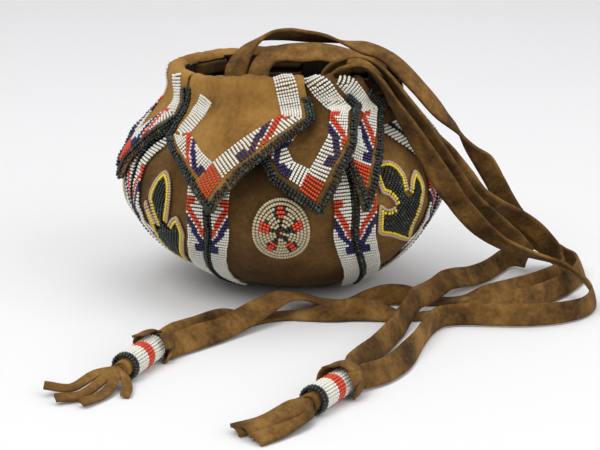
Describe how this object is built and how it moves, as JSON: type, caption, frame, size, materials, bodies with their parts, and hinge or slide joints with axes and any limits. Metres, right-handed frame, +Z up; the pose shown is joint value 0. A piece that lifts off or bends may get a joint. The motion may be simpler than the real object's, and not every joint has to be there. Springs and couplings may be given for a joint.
{
  "type": "beaded medicine bag",
  "caption": "Squat round drawstring pouch of brown hide with folded-down pointed flaps, beaded seams, borders, rosettes and leaves, and thong ends with beaded tassels.",
  "frame": {"origin": "on the floor, on the bag's flat underside, near the middle of its base", "axes": "+Z up, -Y to the front, where the camera of the picture stands, +X to the right, where the thong ends hang"},
  "size_m": [0.2478, 0.3028, 0.1286],
  "materials": {
    "hide": "brown brain-tanned suede, soft and matt",
    "thong": "flat cut hide thong, matt",
    "seam_beads": "opaque ivory seed beads with red and navy diagonals, sewn in lanes",
    "border_beads": "opaque ivory seed beads with red and navy diagonals, sewn in lanes",
    "edging_beads": "dark green-black glossy seed beads, sewn along the flaps' cut edges",
    "rosette_beads": "tan seed beads in rings with dark spokes and red spots",
    "leaf_beads": "dark green seed beads outlined in yellow and beige",
    "tassel_beads": "ivory seed beads in rings with dark ends and a red band"
  },
  "bodies": {
    "root": {"gore_1": "hide", "gore_2": "hide", "gore_3": "hide", "gore_4": "hide", "gore_5": "hide", "gore_6": "hide", "gore_7": "hide", "gore_8": "hide", "seam_beadwork_1": "seam_beads", "seam_beadwork_2": "seam_beads", "seam_beadwork_3": "seam_beads", "seam_beadwork_4": "seam_beads", "seam_beadwork_5": "seam_beads", "seam_beadwork_6": "seam_beads", "seam_beadwork_7": "seam_beads", "seam_beadwork_8": "seam_beads", "flap_border_1": "border_beads", "flap_edging_1": "edging_beads", "flap_border_2": "border_beads", "flap_edging_2": "edging_beads", "flap_border_3": "border_beads", "flap_edging_3": "edging_beads", "flap_border_4": "border_beads", "flap_edging_4": "edging_beads", "flap_border_5": "border_beads", "flap_edging_5": "edging_beads", "flap_border_6": "border_beads", "flap_edging_6": "edging_beads", "flap_border_7": "border_beads", "flap_edging_7": "edging_beads", "flap_border_8": "border_beads", "flap_edging_8": "edging_beads", "rosette_2": "rosette_beads", "rosette_4": "rosette_beads", "rosette_6": "rosette_beads", "rosette_8": "rosette_beads", "leaf_1": "leaf_beads", "leaf_3": "leaf_beads", "leaf_5": "leaf_beads", "leaf_7": "leaf_beads", "drawstring_left": "thong", "drawstring_right": "thong", "thong_end_a": "thong", "thong_end_b": "thong", "thong_end_c": "thong", "thong_end_d": "thong", "tassel_beads_left": "tassel_beads", "tassel_hide_left": "thong", "tassel_beads_right": "tassel_beads", "tassel_hide_right": "thong"}
  },
  "joints": []
}
